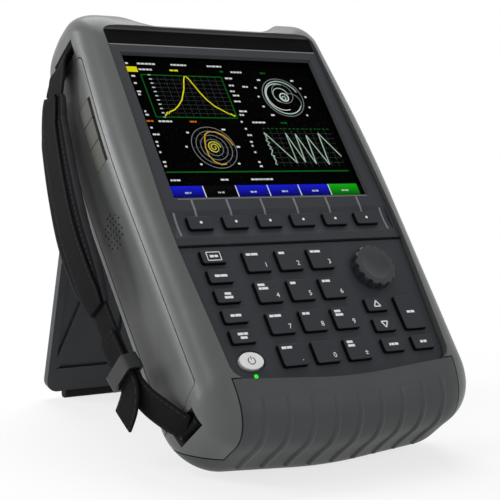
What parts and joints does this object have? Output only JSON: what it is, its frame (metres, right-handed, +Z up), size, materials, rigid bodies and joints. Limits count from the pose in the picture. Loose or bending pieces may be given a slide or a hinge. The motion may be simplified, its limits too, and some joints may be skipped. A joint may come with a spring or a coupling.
{
  "type": "handheld vector network analyzer",
  "caption": "Grey handheld network analyser with a screen, keypad and turning knob on a sloping face, a hand strap at one side, test ports on top and a fold-out rear stand.",
  "frame": {"origin": "on the surface it stands on, under the middle of its outline", "axes": "+Z up, +X to the right of someone facing the screen, -Y towards that person"},
  "size_m": [0.2066, 0.2302, 0.2436],
  "materials": {
    "case_grey": "satin overmoulded shell",
    "bumper_rubber": "soft satin rubber",
    "panel_dark": "fine matt",
    "strip_black": "satin",
    "window_clear": "clear gloss",
    "screen_black": "gloss",
    "lamp_green": "translucent gloss",
    "key_dark": "matt",
    "button_white": "satin",
    "mat_rubber": "matt",
    "board_green": "solder mask",
    "part_black": "matt",
    "shield_metal": "satin",
    "port_metal": "plated satin",
    "pin_steel": "plain",
    "stand_dark": "fine matt",
    "strap_fabric": "woven",
    "keeper_grey": "satin"
  },
  "bodies": {
    "case": {"front_shell": "case_grey", "rear_shell": "case_grey", "bottom_bumper": "bumper_rubber", "display_bezel": "panel_dark", "keypad_panel": "panel_dark", "name_strip": "strip_black", "display_window": "window_clear", "lcd_module": "screen_black", "status_led": "lamp_green", "encoder": "part_black", "keypad_mat": "mat_rubber", "keypad_board": "board_green", "main_board": "board_green", "rf_module": "shield_metal", "battery_pack": "part_black", "side_jacks": "part_black", "speaker": "part_black", "rf_ports": "port_metal", "aux_connectors": "port_metal", "stand_pin": "pin_steel", "case_screws": "pin_steel", "hand_strap_pad": "strap_fabric", "strap_webbing": "strap_fabric", "strap_keeper": "keeper_grey"},
    "softkey_1": {"softkey_1": "key_dark"},
    "softkey_2": {"softkey_2": "key_dark"},
    "softkey_3": {"softkey_3": "key_dark"},
    "softkey_4": {"softkey_4": "key_dark"},
    "softkey_5": {"softkey_5": "key_dark"},
    "softkey_6": {"softkey_6": "key_dark"},
    "function_key_1": {"function_key_1": "key_dark"},
    "function_key_2": {"function_key_2": "key_dark"},
    "function_key_3": {"function_key_3": "key_dark"},
    "function_key_4": {"function_key_4": "key_dark"},
    "function_key_5": {"function_key_5": "key_dark"},
    "key_1": {"key_1": "key_dark"},
    "key_2": {"key_2": "key_dark"},
    "key_3": {"key_3": "key_dark"},
    "key_4": {"key_4": "key_dark"},
    "key_5": {"key_5": "key_dark"},
    "key_6": {"key_6": "key_dark"},
    "key_7": {"key_7": "key_dark"},
    "key_8": {"key_8": "key_dark"},
    "key_9": {"key_9": "key_dark"},
    "key_point": {"key_point": "key_dark"},
    "key_0": {"key_0": "key_dark"},
    "key_sign": {"key_sign": "key_dark"},
    "arrow_up_key": {"arrow_up_key": "key_dark"},
    "arrow_down_key": {"arrow_down_key": "key_dark"},
    "enter_key": {"enter_key": "key_dark"},
    "back_key": {"back_key": "key_dark"},
    "escape_key": {"escape_key": "key_dark"},
    "power_button": {"power_button": "button_white"},
    "side_flap_1": {"side_flap_1": "case_grey"},
    "side_flap_2": {"side_flap_2": "case_grey"},
    "side_flap_3": {"side_flap_3": "case_grey"},
    "battery_door": {"battery_door": "case_grey"},
    "knob": {"tuning_knob": "key_dark"},
    "stand_body": {"stand": "stand_dark", "stand_foot": "mat_rubber"}
  },
  "joints": [
    {"name": "stand_fold", "type": "hinge", "parent": "case", "child": "stand_body", "pos_m": [0.00978, 0.0788, 0.17053], "axis": [1, 0, 0], "range_deg": [-52, 0]},
    {"name": "knob_turn", "type": "hinge", "parent": "case", "child": "knob", "pos_m": [0.05633, -0.0578, 0.10478], "axis": [0, -0.7573, 0.6531], "continuous": true},
    {"name": "side_flap_1_open", "type": "hinge", "parent": "case", "child": "side_flap_1", "pos_m": [-0.08224, 0.04537, 0.18199], "axis": [0, -0.6531, -0.7573], "range_deg": [0, 90]},
    {"name": "side_flap_2_open", "type": "hinge", "parent": "case", "child": "side_flap_2", "pos_m": [-0.0833, 0.03606, 0.1712], "axis": [0, -0.6531, -0.7573], "range_deg": [0, 90]},
    {"name": "side_flap_3_open", "type": "hinge", "parent": "case", "child": "side_flap_3", "pos_m": [-0.08417, 0.02587, 0.15939], "axis": [0, -0.6531, -0.7573], "range_deg": [0, 90]},
    {"name": "battery_door_open", "type": "hinge", "parent": "case", "child": "battery_door", "pos_m": [0.10378, 0.02463, 0.14462], "axis": [0, 0.6531, 0.7573], "range_deg": [0, 100]},
    {"name": "power_button_press", "type": "slide", "parent": "case", "child": "power_button", "axis": [0, 0.7573, -0.6531], "range_m": [0, 0.001], "stiffness_N_per_m": 1000, "springref_m": -0.0005},
    {"name": "softkey_1_press", "type": "slide", "parent": "case", "child": "softkey_1", "axis": [0, 0.7573, -0.6531], "range_m": [0, 0.001], "stiffness_N_per_m": 1000, "springref_m": -0.0005},
    {"name": "softkey_2_press", "type": "slide", "parent": "case", "child": "softkey_2", "axis": [0, 0.7573, -0.6531], "range_m": [0, 0.001], "stiffness_N_per_m": 1000, "springref_m": -0.0005},
    {"name": "softkey_3_press", "type": "slide", "parent": "case", "child": "softkey_3", "axis": [0, 0.7573, -0.6531], "range_m": [0, 0.001], "stiffness_N_per_m": 1000, "springref_m": -0.0005},
    {"name": "softkey_4_press", "type": "slide", "parent": "case", "child": "softkey_4", "axis": [0, 0.7573, -0.6531], "range_m": [0, 0.001], "stiffness_N_per_m": 1000, "springref_m": -0.0005},
    {"name": "softkey_5_press", "type": "slide", "parent": "case", "child": "softkey_5", "axis": [0, 0.7573, -0.6531], "range_m": [0, 0.001], "stiffness_N_per_m": 1000, "springref_m": -0.0005},
    {"name": "softkey_6_press", "type": "slide", "parent": "case", "child": "softkey_6", "axis": [0, 0.7573, -0.6531], "range_m": [0, 0.001], "stiffness_N_per_m": 1000, "springref_m": -0.0005},
    {"name": "function_key_1_press", "type": "slide", "parent": "case", "child": "function_key_1", "axis": [0, 0.7573, -0.6531], "range_m": [0, 0.001], "stiffness_N_per_m": 1000, "springref_m": -0.0005},
    {"name": "function_key_2_press", "type": "slide", "parent": "case", "child": "function_key_2", "axis": [0, 0.7573, -0.6531], "range_m": [0, 0.001], "stiffness_N_per_m": 1000, "springref_m": -0.0005},
    {"name": "function_key_3_press", "type": "slide", "parent": "case", "child": "function_key_3", "axis": [0, 0.7573, -0.6531], "range_m": [0, 0.001], "stiffness_N_per_m": 1000, "springref_m": -0.0005},
    {"name": "function_key_4_press", "type": "slide", "parent": "case", "child": "function_key_4", "axis": [0, 0.7573, -0.6531], "range_m": [0, 0.001], "stiffness_N_per_m": 1000, "springref_m": -0.0005},
    {"name": "function_key_5_press", "type": "slide", "parent": "case", "child": "function_key_5", "axis": [0, 0.7573, -0.6531], "range_m": [0, 0.001], "stiffness_N_per_m": 1000, "springref_m": -0.0005},
    {"name": "key_1_press", "type": "slide", "parent": "case", "child": "key_1", "axis": [0, 0.7573, -0.6531], "range_m": [0, 0.001], "stiffness_N_per_m": 1000, "springref_m": -0.0005},
    {"name": "key_2_press", "type": "slide", "parent": "case", "child": "key_2", "axis": [0, 0.7573, -0.6531], "range_m": [0, 0.001], "stiffness_N_per_m": 1000, "springref_m": -0.0005},
    {"name": "key_3_press", "type": "slide", "parent": "case", "child": "key_3", "axis": [0, 0.7573, -0.6531], "range_m": [0, 0.001], "stiffness_N_per_m": 1000, "springref_m": -0.0005},
    {"name": "key_4_press", "type": "slide", "parent": "case", "child": "key_4", "axis": [0, 0.7573, -0.6531], "range_m": [0, 0.001], "stiffness_N_per_m": 1000, "springref_m": -0.0005},
    {"name": "key_5_press", "type": "slide", "parent": "case", "child": "key_5", "axis": [0, 0.7573, -0.6531], "range_m": [0, 0.001], "stiffness_N_per_m": 1000, "springref_m": -0.0005},
    {"name": "key_6_press", "type": "slide", "parent": "case", "child": "key_6", "axis": [0, 0.7573, -0.6531], "range_m": [0, 0.001], "stiffness_N_per_m": 1000, "springref_m": -0.0005},
    {"name": "key_7_press", "type": "slide", "parent": "case", "child": "key_7", "axis": [0, 0.7573, -0.6531], "range_m": [0, 0.001], "stiffness_N_per_m": 1000, "springref_m": -0.0005},
    {"name": "key_8_press", "type": "slide", "parent": "case", "child": "key_8", "axis": [0, 0.7573, -0.6531], "range_m": [0, 0.001], "stiffness_N_per_m": 1000, "springref_m": -0.0005},
    {"name": "key_9_press", "type": "slide", "parent": "case", "child": "key_9", "axis": [0, 0.7573, -0.6531], "range_m": [0, 0.001], "stiffness_N_per_m": 1000, "springref_m": -0.0005},
    {"name": "key_point_press", "type": "slide", "parent": "case", "child": "key_point", "axis": [0, 0.7573, -0.6531], "range_m": [0, 0.001], "stiffness_N_per_m": 1000, "springref_m": -0.0005},
    {"name": "key_0_press", "type": "slide", "parent": "case", "child": "key_0", "axis": [0, 0.7573, -0.6531], "range_m": [0, 0.001], "stiffness_N_per_m": 1000, "springref_m": -0.0005},
    {"name": "key_sign_press", "type": "slide", "parent": "case", "child": "key_sign", "axis": [0, 0.7573, -0.6531], "range_m": [0, 0.001], "stiffness_N_per_m": 1000, "springref_m": -0.0005},
    {"name": "arrow_up_key_press", "type": "slide", "parent": "case", "child": "arrow_up_key", "axis": [0, 0.7573, -0.6531], "range_m": [0, 0.001], "stiffness_N_per_m": 1000, "springref_m": -0.0005},
    {"name": "arrow_down_key_press", "type": "slide", "parent": "case", "child": "arrow_down_key", "axis": [0, 0.7573, -0.6531], "range_m": [0, 0.001], "stiffness_N_per_m": 1000, "springref_m": -0.0005},
    {"name": "enter_key_press", "type": "slide", "parent": "case", "child": "enter_key", "axis": [0, 0.7573, -0.6531], "range_m": [0, 0.001], "stiffness_N_per_m": 1000, "springref_m": -0.0005},
    {"name": "back_key_press", "type": "slide", "parent": "case", "child": "back_key", "axis": [0, 0.7573, -0.6531], "range_m": [0, 0.001], "stiffness_N_per_m": 1000, "springref_m": -0.0005},
    {"name": "escape_key_press", "type": "slide", "parent": "case", "child": "escape_key", "axis": [0, 0.7573, -0.6531], "range_m": [0, 0.001], "stiffness_N_per_m": 1000, "springref_m": -0.0005}
  ]
}
